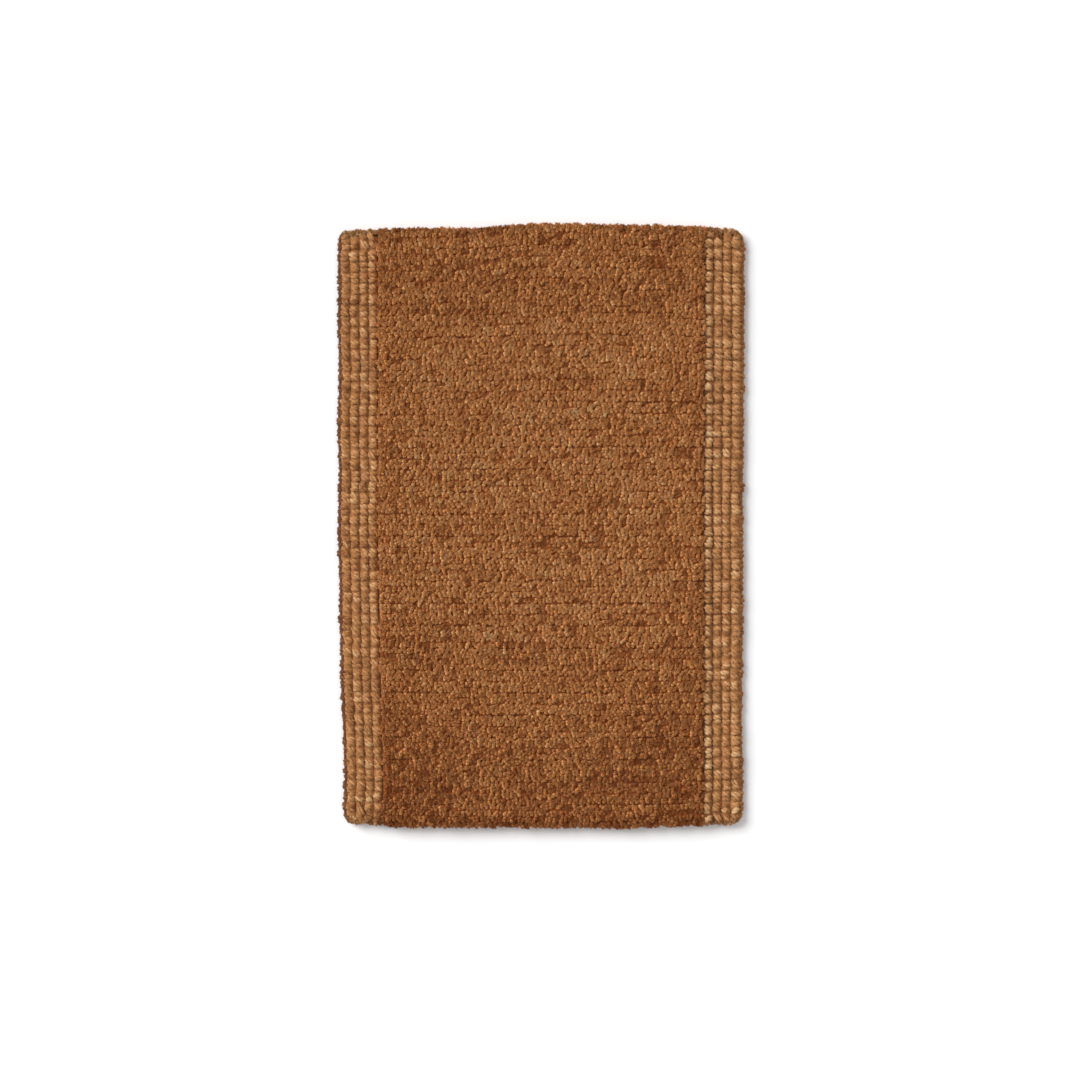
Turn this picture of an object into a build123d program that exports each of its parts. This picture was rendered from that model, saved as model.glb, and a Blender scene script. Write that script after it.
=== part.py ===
"""Woven coir door mat: a cut pile field between two side borders of uncut loops.

Frame: +Z up, origin at the centre of the underside, +X across the mat, +Y along its length.
The mat lies flat on a floor at Z = 0. Units are millimetres.
"""
import os

from build123d import *

# Overall size of the mat
mat_width = 600.0
mat_length = 890.0
mat_height = 24.0

# Ground weave: a layer of chain yarns, a layer of wefts, a second layer of chain yarns
chain_height = 2.3
weft_height = 2.2
layer_gap = 0.1
weft_base_height = chain_height + layer_gap
chain_over_base_height = weft_base_height + weft_height + layer_gap
ground_height = chain_over_base_height + chain_height
surface_base_height = ground_height + layer_gap
chain_yarn_width = 9.0
chain_pitch = 12.2
chain_count = 47
yarn_edge_radius = 0.9

# Picks: every pick is one row of pile, one weft and half a border loop
pick_count = 108
pick_pitch = mat_length / pick_count
weft_width = 6.8

# Selvedge cords along the two long edges
selvedge_width = 8.0
selvedge_height = 13.0
selvedge_length = mat_length - 6.0
selvedge_radius = 3.0

# Border loops: columns of yarn loops that wrap the outer chains, one loop for two picks
columns_per_side = 4
loops_per_column = pick_count // 2
column_pitch = 13.3
loop_width = 12.4
loop_length = 15.6
loop_height = 10.0
loop_side_height = loop_height - loop_width / 2
border_width = selvedge_width + columns_per_side * column_pitch

# Cut pile: rows of tufts, four rows to a band, between the two borders
rows_per_band = 4
band_count = pick_count // rows_per_band
field_gap = 0.8
field_width = mat_width - 2 * (border_width + field_gap)
row_top_width = 7.8
row_foot_width = 6.2

# End hems: the chain ends turned across the mat and lashed down with twine
hem_side_clearance = 0.1
twine_width = 2.2
twine_thickness = 1.3
lashing_depth = 8.4
lashing_height = ground_height - 0.1
lashing_count = 24
lashing_pitch = 24.0
end_clearance = 0.2
lashing_centre_y = mat_length / 2 - end_clearance - lashing_depth / 2
hem_depth = lashing_depth - 2 * (twine_thickness + hem_side_clearance)
hem_height = lashing_height - 2 * (twine_thickness + hem_side_clearance)
hem_radius = 1.3

# Everything of the ground weave ends short of the hems and of the selvedge cords
ground_end_gap = 0.4
ground_half_length = lashing_centre_y - lashing_depth / 2 - ground_end_gap
selvedge_gap = 0.6
ground_half_width = mat_width / 2 - selvedge_width - selvedge_gap
woven_weft_count = pick_count - 2

os.makedirs("parts", exist_ok=True)


def save(name, part):
    """Label one finished piece and write its STEP file."""
    part.label = name
    export_step(part, f"parts/{name}.step")


def chain_layer(name, base_height):
    """Lengthwise chain yarns lying side by side at one height of the ground weave."""
    with BuildPart() as layer:
        with BuildSketch(Plane.XZ):
            with Locations((0, base_height + chain_height / 2)):
                with GridLocations(chain_pitch, 0, chain_count, 1):
                    RectangleRounded(chain_yarn_width, chain_height, yarn_edge_radius)
        extrude(amount=ground_half_length, both=True)
    save(name, layer.part)


def ground_wefts():
    """Crosswise wefts between the two chain layers, one for each pick."""
    with BuildPart() as wefts:
        with BuildSketch(Plane.YZ):
            with Locations((0, weft_base_height + weft_height / 2)):
                with GridLocations(pick_pitch, 0, woven_weft_count, 1):
                    RectangleRounded(weft_width, weft_height, yarn_edge_radius)
        extrude(amount=ground_half_width, both=True)
    save("ground_wefts", wefts.part)


def selvedge_cord(name, side):
    """Thick cord along one long edge, with a flat underside and a rounded top."""
    centre_x = side * (mat_width - selvedge_width) / 2
    with BuildPart() as cord:
        with BuildSketch(Plane.XZ) as section:
            with Locations((centre_x, selvedge_height / 2)):
                Rectangle(selvedge_width, selvedge_height)
            top_corners = section.vertices().group_by(Axis.Z)[-1]
            fillet(top_corners, radius=selvedge_radius)
        extrude(amount=selvedge_length / 2, both=True)
    save(name, cord.part)


def loop_column(name, side, column):
    """One lengthwise column of border loops, each arched crosswise over the chain below."""
    centre_x = side * (mat_width / 2 - selvedge_width - (column - 0.5) * column_pitch)
    loop_pitch = mat_length / loops_per_column
    with BuildPart() as loop:
        with BuildSketch(Plane.XZ):
            with BuildLine():
                foot_left = (centre_x - loop_width / 2, surface_base_height)
                foot_right = (centre_x + loop_width / 2, surface_base_height)
                shoulder_left = (foot_left[0], surface_base_height + loop_side_height)
                shoulder_right = (foot_right[0], surface_base_height + loop_side_height)
                crown = (centre_x, surface_base_height + loop_height)
                Line(foot_left, foot_right)
                Line(foot_right, shoulder_right)
                ThreePointArc(shoulder_right, crown, shoulder_left)
                Line(shoulder_left, foot_left)
            make_face()
        extrude(amount=loop_length / 2, both=True)
    with BuildPart() as loops:
        with GridLocations(0, loop_pitch, 1, loops_per_column):
            add(loop.part)
    save(name, loops.part)


def pile_band(name, band):
    """One band of cut pile: rows of tufts that stand on the ground weave and lean apart."""
    band_length = rows_per_band * pick_pitch
    band_centre_y = (band - (band_count + 1) / 2) * band_length
    with BuildPart() as rows:
        with BuildSketch(Plane.YZ):
            for row in range(rows_per_band):
                row_y = band_centre_y + (row - (rows_per_band - 1) / 2) * pick_pitch
                with BuildLine():
                    Polyline(
                        (row_y - row_foot_width / 2, surface_base_height),
                        (row_y + row_foot_width / 2, surface_base_height),
                        (row_y + row_top_width / 2, mat_height),
                        (row_y - row_top_width / 2, mat_height),
                        close=True,
                    )
                make_face()
        extrude(amount=field_width / 2, both=True)
    save(name, rows.part)


def end_hem(name, end):
    """Chain ends turned crosswise into one flat bundle at an end of the mat."""
    with BuildPart() as hem:
        with BuildSketch(Plane.YZ):
            with Locations((end * lashing_centre_y, lashing_height / 2)):
                RectangleRounded(hem_depth, hem_height, hem_radius)
        extrude(amount=ground_half_width, both=True)
    save(name, hem.part)


def hem_lashing(name, end):
    """Turns of twine round an end hem, evenly spaced across the mat."""
    centre_y = end * lashing_centre_y
    inner_depth = lashing_depth - 2 * twine_thickness
    inner_height = lashing_height - 2 * twine_thickness
    with BuildPart() as turn:
        with BuildSketch(Plane.YZ):
            with Locations((centre_y, lashing_height / 2)):
                Rectangle(lashing_depth, lashing_height)
                RectangleRounded(inner_depth, inner_height, hem_radius, mode=Mode.SUBTRACT)
        extrude(amount=twine_width / 2, both=True)
    with BuildPart() as lashing:
        with GridLocations(lashing_pitch, 0, lashing_count, 1):
            add(turn.part)
    save(name, lashing.part)


chain_layer("chain_under", 0.0)
chain_layer("chain_over", chain_over_base_height)
ground_wefts()

for side_name, side in (("left", -1), ("right", 1)):
    selvedge_cord(f"selvedge_cord_{side_name}", side)
    for column in range(1, columns_per_side + 1):
        loop_column(f"loop_column_{side_name}_{column}", side, column)

for end_name, end in (("near", -1), ("far", 1)):
    end_hem(f"end_hem_{end_name}", end)
    hem_lashing(f"hem_lashing_{end_name}", end)

for band in range(1, band_count + 1):
    pile_band(f"pile_band_{band:02d}", band)
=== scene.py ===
"""Looks of the woven coir door mat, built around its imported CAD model.

Everything is in metres in the CAD frame: +Z up, origin at the centre of the underside,
+X across the mat and +Y along it. Each CAD node gets a piece made of real yarn or fibre:
cut tufts in the pile, twisted three-ply yarn in the border loops and the selvedges, the
interlaced ground weave, the hems and their lashings.
"""
import math

import bpy
import numpy as np
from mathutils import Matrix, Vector


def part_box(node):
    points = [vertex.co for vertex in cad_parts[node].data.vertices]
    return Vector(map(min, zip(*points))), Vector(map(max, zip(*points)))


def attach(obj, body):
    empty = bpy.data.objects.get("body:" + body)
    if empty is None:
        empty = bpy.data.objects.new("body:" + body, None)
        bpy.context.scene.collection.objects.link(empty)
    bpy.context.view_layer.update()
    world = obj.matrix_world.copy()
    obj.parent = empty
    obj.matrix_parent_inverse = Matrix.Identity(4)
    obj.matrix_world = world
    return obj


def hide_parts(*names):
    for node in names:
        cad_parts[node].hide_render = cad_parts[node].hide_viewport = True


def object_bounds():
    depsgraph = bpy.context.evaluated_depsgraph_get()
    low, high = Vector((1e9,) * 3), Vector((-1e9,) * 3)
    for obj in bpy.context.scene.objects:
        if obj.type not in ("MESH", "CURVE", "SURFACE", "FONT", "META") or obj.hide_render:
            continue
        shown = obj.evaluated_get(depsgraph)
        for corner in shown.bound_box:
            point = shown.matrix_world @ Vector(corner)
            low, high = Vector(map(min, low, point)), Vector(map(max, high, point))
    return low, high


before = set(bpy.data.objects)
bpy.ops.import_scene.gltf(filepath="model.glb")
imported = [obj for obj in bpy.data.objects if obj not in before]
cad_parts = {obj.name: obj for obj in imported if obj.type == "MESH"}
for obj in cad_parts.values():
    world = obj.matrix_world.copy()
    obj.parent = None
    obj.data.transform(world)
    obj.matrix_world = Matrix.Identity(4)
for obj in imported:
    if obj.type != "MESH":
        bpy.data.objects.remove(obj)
cad_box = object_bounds()

MM = 0.001
TAU = 2 * math.pi

# ---------------------------------------------------------------- sizes from the frame
HALF_WIDTH, HALF_LENGTH, MAT_TOP = (float(value) for value in cad_box[1])
BAND_NODES = sorted(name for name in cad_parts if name.startswith("pile_band_"))
ROWS_PER_BAND = 4
PICK_COUNT = ROWS_PER_BAND * len(BAND_NODES)
PICK_PITCH = 2 * HALF_LENGTH / PICK_COUNT
ALONG_X, ALONG_Y = np.array([1.0, 0, 0]), np.array([0, 1.0, 0])


def box_of(node):
    """Low and high corner of the box round a CAD node."""
    low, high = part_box(node)
    return np.array(low), np.array(high)


PILE_BASE = box_of(BAND_NODES[0])[0][2]
FIELD_HALF_WIDTH = box_of(BAND_NODES[0])[1][0]
CHAIN_HIGH = box_of("chain_under")[1]
GROUND_MIDDLE = box_of("chain_over")[1][2] / 2
WEFT_HALF_LENGTH = box_of("ground_wefts")[1][0]


def pick_y(picks):
    """Where picks lie along the mat as long as none has crept."""
    return (picks - (PICK_COUNT - 1) / 2) * PICK_PITCH


# ---------------------------------------------------------------- smooth random fields
HASH_STEP_X, HASH_STEP_Y, HASH_STEP_SEED = 127.1, 311.7, 74.7   # share no common measure
HASH_GAIN = 43758.5453        # large, so that neighbouring cells get unrelated values
ANY = 1.0                     # cell size along a direction in which the noise doesn't vary


def hash_grid(ix, iy, seed):
    """A repeatable value from 0 to 1 for each whole-number cell."""
    h = np.sin(ix * HASH_STEP_X + iy * HASH_STEP_Y + seed * HASH_STEP_SEED) * HASH_GAIN
    return h - np.floor(h)


def hash_line(index, seed):
    """The same for a single row of cells."""
    return hash_grid(index * 1.0, index * 0.0, seed)


def field(x, y, cell_x, cell_y, seed):
    """Smooth value noise from -1 to 1 over the mat, with cells of the given size.

    The seed picks the pattern: each use has its own.
    """
    gx, gy = x / cell_x, y / cell_y
    ix, iy = np.floor(gx), np.floor(gy)
    fx, fy = gx - ix, gy - iy
    sx, sy = fx * fx * (3 - 2 * fx), fy * fy * (3 - 2 * fy)
    low = hash_grid(ix, iy, seed) * (1 - sx) + hash_grid(ix + 1, iy, seed) * sx
    high = hash_grid(ix, iy + 1, seed) * (1 - sx) + hash_grid(ix + 1, iy + 1, seed) * sx
    return 2 * (low * (1 - sy) + high * sy) - 1


def smoothstep(value, start, stop):
    """Rises smoothly from 0 to 1 between the two values."""
    t = np.clip((value - start) / (stop - start), 0, 1)
    return t * t * (3 - 2 * t)


def near_edge(value, edge, start, stop=0.0):
    """Rises smoothly from 0 to 1 between two distances inside an edge."""
    return smoothstep(value, edge - start, edge - stop)


# ---------------------------------------------------------------- how the mat really lies
FAR_LEFT_DROP = 6.6 * MM      # the left part of the far end sits nearer than its middle
DROP_WIDTH = 0.35             # share of the half width over which that drop sets in
CROWNS = {"far_left": 4.0 * MM, "far_right": 10.0 * MM, "near": 5.5 * MM}
CROWN_POWER = 4
NEAR_DRAW = 2.0 * MM          # the near half is woven a little tighter
TUCK_START = 0.1              # share of the half length beyond the middle where the tucks start
NEAR_LEFT_TUCK = 8.0 * MM     # the left edge draws in towards the near end
NEAR_RIGHT_TUCK = 2.0 * MM
SIDE_WAVE, SIDE_WAVE_LENGTH = 1.3 * MM, 75 * MM
END_WAVE, END_WAVE_LENGTH, END_WAVE_REACH = 0.9 * MM, 110 * MM, 300 * MM
EDGE_LUMPS = 0.9 * MM         # small lumps all round the outline
SIDE_LUMP_LENGTH, SIDE_LUMP_POWER = 14 * MM, 10
END_LUMP_LENGTH, END_LUMP_POWER = 9 * MM, 14
CORNER_ROUND = 19.0 * MM


def lay(points):
    """Bends straight rows and columns into the slightly uneven outline of a handwoven mat."""
    x, y, z = points[:, 0].copy(), points[:, 1].copy(), points[:, 2]
    across = x / HALF_WIDTH
    along = y / HALF_LENGTH
    side, end = np.sign(x), np.sign(y)

    tuck = smoothstep(-along, -TUCK_START, 1.0)
    left_side, right_side = (1 - across) / 2, (1 + across) / 2
    new_x = x + left_side * tuck * NEAR_LEFT_TUCK - right_side * tuck * NEAR_RIGHT_TUCK
    new_x += field(side, y, ANY, SIDE_WAVE_LENGTH, 3) * SIDE_WAVE * np.abs(across) ** 2
    side_lumps = field(side, y, ANY, SIDE_LUMP_LENGTH, 4) * EDGE_LUMPS
    new_x += side_lumps * np.abs(across) ** SIDE_LUMP_POWER

    far_crown = np.where(x < 0, CROWNS["far_left"], CROWNS["far_right"])
    crown = np.where(y > 0, far_crown, CROWNS["near"]) * np.abs(across) ** CROWN_POWER
    far_drop = FAR_LEFT_DROP * smoothstep(-across, 0.0, DROP_WIDTH)
    crown += np.where(y > 0, far_drop, NEAR_DRAW)
    new_y = y * (1 - crown / HALF_LENGTH)
    new_y += field(x, y, END_WAVE_LENGTH, END_WAVE_REACH, 5) * END_WAVE * np.abs(along) ** 2
    end_lumps = field(x, end, END_LUMP_LENGTH, ANY, 7) * EDGE_LUMPS
    new_y += end_lumps * np.abs(along) ** END_LUMP_POWER

    # corners: each corner's square of points is squeezed into its quarter disc
    u = np.clip((np.abs(x) - HALF_WIDTH) / CORNER_ROUND + 1, 0, 1)
    v = np.clip((np.abs(y) - HALF_LENGTH) / CORNER_ROUND + 1, 0, 1)
    new_x -= side * CORNER_ROUND * u * (1 - np.sqrt(1 - v ** 2 / 2))
    new_y -= end * CORNER_ROUND * v * (1 - np.sqrt(1 - u ** 2 / 2))
    return np.stack([new_x, new_y, z], axis=1)


# ---------------------------------------------------------------- mesh building
class Batch:
    """Points, triangles, tones and bake coordinates of one piece, gathered group by group."""

    def __init__(self):
        self.points, self.triangles, self.coords = [], [], []
        self.tone, self.tip = [], []
        self.count = 0

    def add(self, points, triangles, coords, tone, tip):
        """Takes in one group: tone is its colour, tip how far its points stand in the light."""
        self.points.append(points)
        self.triangles.append(triangles + self.count)
        self.coords.append(coords)
        self.tone.append(tone)
        self.tip.append(tip)
        self.count += len(points)

    def build(self, name, material, nodes=()):
        """Makes the piece, which rides the mat and stands in for the given CAD nodes."""
        points = lay(np.concatenate(self.points))
        points[:, 2] = np.maximum(points[:, 2], 0.0)
        triangles = np.concatenate(self.triangles).astype(np.int32)
        mesh = bpy.data.meshes.new(name)
        mesh.vertices.add(len(points))
        mesh.vertices.foreach_set("co", points.astype(np.float32).ravel())
        mesh.loops.add(triangles.size)
        mesh.loops.foreach_set("vertex_index", triangles.ravel())
        mesh.polygons.add(len(triangles))
        mesh.polygons.foreach_set("loop_start", np.arange(0, triangles.size, 3, dtype=np.int32))
        mesh.update(calc_edges=True)
        mesh.polygons.foreach_set("use_smooth", np.ones(len(triangles), bool))
        # each group of strands takes its own strip of the bake square
        ends = np.cumsum([len(group) for group in self.coords]) / triangles.size
        starts = np.concatenate([[0.0], ends[:-1]])
        coords = np.concatenate([group * [1.0, end - start] + [0.0, start]
                                 for group, start, end in zip(self.coords, starts, ends)])
        layer = mesh.uv_layers.new(name="OFBake")
        layer.data.foreach_set("uv", coords.astype(np.float32).ravel())
        for key, values in (("tone", self.tone), ("tip", self.tip)):
            attribute = mesh.attributes.new(key, "FLOAT", "POINT")
            attribute.data.foreach_set("value", np.concatenate(values).astype(np.float32))
        mesh.materials.append(material)
        piece = bpy.data.objects.new(name, mesh)
        bpy.context.scene.collection.objects.link(piece)
        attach(piece, "root")
        if nodes:
            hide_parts(*nodes)
        return piece


CELL_MARGIN = 0.06            # empty rim of each bake cell, as a share of its size


def atlas_cells(count):
    """Low corner and size of each strand's own cell of the bake square."""
    columns = max(1, math.ceil(math.sqrt(count)))
    rows = math.ceil(count / columns)
    index = np.arange(count)
    low = np.stack([(index % columns) / columns, (index // columns) / rows], axis=1)
    return low, np.array([1 / columns, 1 / rows])


def strip_cells(count):
    """Bake cells for long yarns: one narrow strip of the square for each."""
    low = np.stack([np.arange(count) / count, np.zeros(count)], axis=1)
    return low, np.array([1 / count, 1.0])


def unit(vectors):
    """Vectors of length one, along the last axis."""
    return vectors / (np.linalg.norm(vectors, axis=-1, keepdims=True) + 1e-12)


def frames_along(paths, reference):
    """Unit normal and binormal at each point of each path."""
    tangent = unit(np.gradient(paths, axis=1))
    normal = unit(np.cross(tangent, np.broadcast_to(reference, tangent.shape)))
    return normal, np.cross(normal, tangent)


DISC_RADIUS, DISC_PLACE, DISCS_APART = 0.04, 0.05, 0.88     # end caps in a strand's bake cell


def sweep(batch, paths, radii, sides, reference, tone, tip, flat=1.0, flutes=0, turns=0.0,
          flute_depth=0.0, cells=None):
    """Closed tubes along many paths. Their section is flat times as high as it is wide, and
    its flutes, the ridges round it, make so many turns along the path.
    """
    strands, steps = paths.shape[:2]
    normal, binormal = frames_along(paths, reference)
    angle = np.arange(sides) / sides * TAU
    along = np.linspace(0, 1, steps)
    spin = angle[None, None, :] - (turns * TAU * along)[None, :, None]
    reach = radii[:, :, None] * (1 + flute_depth * np.cos(flutes * spin))
    across = (reach * np.cos(angle))[..., None] * binormal[:, :, None, :]
    up = (reach * flat * np.sin(angle))[..., None] * normal[:, :, None, :]
    points = (paths[:, :, None, :] + across + up).reshape(-1, 3)

    ring = np.arange(sides)
    after = (ring + 1) % sides
    step = np.arange(steps - 1)[:, None] * sides
    a, b = step + ring, step + after
    c, d = b + sides, a + sides
    first = np.stack([a, b, c], axis=2).reshape(-1, 3)
    second = np.stack([a, c, d], axis=2).reshape(-1, 3)
    fan = np.arange(1, sides - 1)
    start_cap = np.stack([np.zeros_like(fan), fan + 1, fan], axis=1)
    last = (steps - 1) * sides
    end_cap = np.stack([np.zeros_like(fan), fan, fan + 1], axis=1) + last
    one = np.concatenate([first, second, start_cap, end_cap])
    offsets = np.arange(strands)[:, None, None] * (steps * sides)
    triangles = (one[None] + offsets).reshape(-1, 3)

    v = np.broadcast_to((np.arange(steps - 1) / (steps - 1))[:, None], (steps - 1, sides))
    v_next = v + 1 / (steps - 1)
    u = np.broadcast_to(ring / sides, (steps - 1, sides))
    u_next = u + 1 / sides
    first_uv = np.stack([np.stack([u, v], 2), np.stack([u_next, v], 2),
                         np.stack([u_next, v_next], 2)], axis=2)
    second_uv = np.stack([np.stack([u, v], 2), np.stack([u_next, v_next], 2),
                          np.stack([u, v_next], 2)], axis=2)
    start_disc = np.stack([np.cos(angle), np.sin(angle)], axis=1) * DISC_RADIUS + DISC_PLACE
    end_disc = start_disc + [0, DISCS_APART]
    coords = np.concatenate([first_uv.reshape(-1, 3, 2), second_uv.reshape(-1, 3, 2),
                             start_disc[start_cap], end_disc[end_cap - last]])
    low, size = atlas_cells(strands) if cells is None else cells
    coords = coords * (1 - 2 * CELL_MARGIN) + CELL_MARGIN
    coords = coords[None] * size + low[:, None, None, :]

    tones = np.repeat(tone, steps * sides)
    tips = np.repeat(np.broadcast_to(tip, (strands, steps)).reshape(-1), sides)
    batch.add(points, triangles, coords.reshape(-1, 2), tones, tips)


SKEW_AXIS = np.array([0.31, 0.83, 0.46])      # no fibre runs exactly this way
SIDE_FACES = [[0, 2, 1], [0, 1, 4], [0, 4, 3], [1, 2, 5], [1, 5, 4], [2, 0, 3], [2, 3, 5]]
POINTED_FACES = np.array([*SIDE_FACES, [3, 4, 6], [4, 5, 6], [5, 3, 6]])
BLUNT_FACES = np.array([*SIDE_FACES, [3, 4, 5]])
POINTED_UV = np.array([[0.15, 0.15], [0.85, 0.15], [0.5, 0.2], [0.15, 0.5], [0.85, 0.5],
                       [0.5, 0.5], [0.5, 0.85]])
BLUNT_UV = np.array([[0.15, 0.2], [0.85, 0.15], [0.5, 0.3], [0.15, 0.75], [0.85, 0.7],
                     [0.5, 0.85]])
MIDDLE_RISE = 0.55            # how far up a pointed fibre its middle counts


def three_sides(line, width):
    """Offsets from a fibre's axis to its three edges."""
    side = unit(np.cross(line, SKEW_AXIS))
    other = unit(np.cross(line, side))
    turns = [corner * TAU / 3 for corner in range(3)]
    return [(math.cos(turn) * side + math.sin(turn) * other) * width[:, None] for turn in turns]


def add_fibres(batch, points, faces, corner_uv, tone, rise):
    """Adds fibres that all have the same number of points, faces and bake coordinates."""
    count, per_fibre = points.shape[:2]
    triangles = (faces[None] + np.arange(count)[:, None, None] * per_fibre).reshape(-1, 3)
    low, size = atlas_cells(count)
    coords = corner_uv[faces][None] * size + low[:, None, None, :]
    batch.add(points.reshape(-1, 3), triangles, coords.reshape(-1, 2),
              np.repeat(tone, per_fibre), rise.reshape(-1))


def fibres(batch, roots, middles, tips, width, tone, tip_low, tip_high):
    """Single coir fibres: three-sided blades, widest at the root and pointed at the tip."""
    points = np.empty((len(roots), 7, 3))
    for corner, out in enumerate(three_sides(tips - roots, width)):
        points[:, corner] = roots + out
        points[:, 3 + corner] = middles + out * 0.8
    points[:, 6] = tips
    # painted shade: each fibre is drawn darker at its root than at its tip
    share = np.array([0.0] * 3 + [MIDDLE_RISE] * 3 + [1.0])
    rise = tip_low + (tip_high - tip_low) * np.broadcast_to(share, (len(roots), 7))
    add_fibres(batch, points, POINTED_FACES, POINTED_UV, tone, rise)


def prisms(batch, roots, tips, width, tone, tip_low, tip_high):
    """Single coir fibres cut off blunt: three-sided, a little thinner at the cut end."""
    points = np.empty((len(roots), 6, 3))
    for corner, out in enumerate(three_sides(tips - roots, width)):
        points[:, corner] = roots + out
        points[:, 3 + corner] = tips + out * 0.7
    # painted shade: each fibre is drawn darker at its root than at its cut end
    rise = np.empty((len(roots), 6))
    rise[:, :3] = tip_low
    rise[:, 3:] = np.reshape(tip_high, (-1, 1))
    add_fibres(batch, points, BLUNT_FACES, BLUNT_UV, tone, rise)


def slab(batch, columns, rows, half_x, low_y, high_y, surface, underside, tone, tip):
    """A closed slab whose two faces follow the given heights over a grid of points."""
    x, y = np.meshgrid(np.linspace(-half_x, half_x, columns + 1),
                       np.linspace(low_y, high_y, rows + 1))
    x, y = x.ravel(), y.ravel()
    points = np.concatenate([np.stack([x, y, surface(x, y)], 1),
                             np.stack([x, y, underside(x, y)], 1)])
    index = np.arange(len(x)).reshape(rows + 1, columns + 1)
    a, b = index[:-1, :-1].ravel(), index[:-1, 1:].ravel()
    c, d = index[1:, 1:].ravel(), index[1:, :-1].ravel()
    upper = np.concatenate([np.stack([a, b, c], 1), np.stack([a, c, d], 1)])
    lower = upper[:, ::-1] + len(x)
    rim = np.concatenate([index[0, :], index[1:, -1], index[-1, -2::-1], index[-2:0:-1, 0]])
    after = np.roll(rim, -1)
    walls = np.concatenate([np.stack([rim, rim + len(x), after + len(x)], 1),
                            np.stack([rim, after + len(x), after], 1)])
    triangles = np.concatenate([upper, lower, walls])
    flat_uv = np.stack([(points[:, 0] / half_x + 1) * 0.24,
                        (points[:, 1] - low_y) / (high_y - low_y)], 1)
    flat_uv[len(x):, 0] += 0.5
    batch.add(points, triangles, flat_uv[triangles].reshape(-1, 2),
              tone(points[:, 0], points[:, 1]), np.full(len(points), tip))


# ---------------------------------------------------------------- materials
def srgb(red, green, blue):
    """Linear colour from an sRGB one given on the scale from 0 to 255."""
    channels = []
    for value in (red, green, blue):
        part = value / 255
        channels.append(part / 12.92 if part <= 0.04045 else ((part + 0.055) / 1.055) ** 2.4)
    return (*channels, 1.0)


WHITE = (1.0, 1.0, 1.0, 1.0)
NOISE_DETAIL = 3.0
STREAK_SCALE = (900, 900, 160)
STREAK_SHARE = 0.35           # how far the streaks shift a strand's tone
TONE_STOPS = (0.22, 0.64, 1.0)                # tones of the dark, middle and light colour
PATCH_SCALE = 55.0            # patches of redder and more golden fibre, about 2 cm across
RED_PATCH = (0.38, (1.0, 0.94, 0.88, 1.0))
GOLDEN_PATCH = (0.62, (1.0, 1.0, 0.97, 1.0))
# painted shade: the darker, richer brown that coir is drawn with where light reaches it only off
# other fibre
PILE_PAINTED_SHADE = (0.52, 0.38, 0.2, 1.0)
YARN_PAINTED_SHADE = (0.84, 0.5, 0.18, 1.0)
GROUND_PAINTED_SHADE = (0.8, 0.7, 0.6, 1.0)
SURFACE = {"Specular IOR Level": 0.25, "Sheen Weight": 0.12, "Sheen Roughness": 0.5,
           "Sheen Tint": (1.0, 0.85, 0.65, 1.0)}
SMOOTHEST, ROUGHEST = 0.76, 0.96
BUMP_STRENGTH, BUMP_HEIGHT = 0.35, 0.25 * MM


def stored(tree, attribute):
    """The value that the mesh stores under this name."""
    node = tree.nodes.new("ShaderNodeAttribute")
    node.attribute_name = attribute
    return node.outputs["Fac"]


def noise(tree, scale, vector):
    """Cloudy noise over the given coordinates."""
    node = tree.nodes.new("ShaderNodeTexNoise")
    node.inputs["Scale"].default_value = scale
    node.inputs["Detail"].default_value = NOISE_DETAIL
    tree.links.new(vector, node.inputs["Vector"])
    return node.outputs["Fac"]


def colour_ramp(tree, value, *stops):
    """A colour that runs through the given pairs of position and colour."""
    node = tree.nodes.new("ShaderNodeValToRGB")
    elements = node.color_ramp.elements
    elements.remove(elements[1])
    elements[0].position, elements[0].color = stops[0]
    for position, colour in stops[1:]:
        elements.new(position).color = colour
    tree.links.new(value, node.inputs["Fac"])
    return node.outputs["Color"]


def product(tree, first, second):
    """Two colours multiplied."""
    node = tree.nodes.new("ShaderNodeVectorMath")
    node.operation = "MULTIPLY"
    tree.links.new(first, node.inputs[0])
    tree.links.new(second, node.inputs[1])
    return node.outputs["Vector"]


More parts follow.
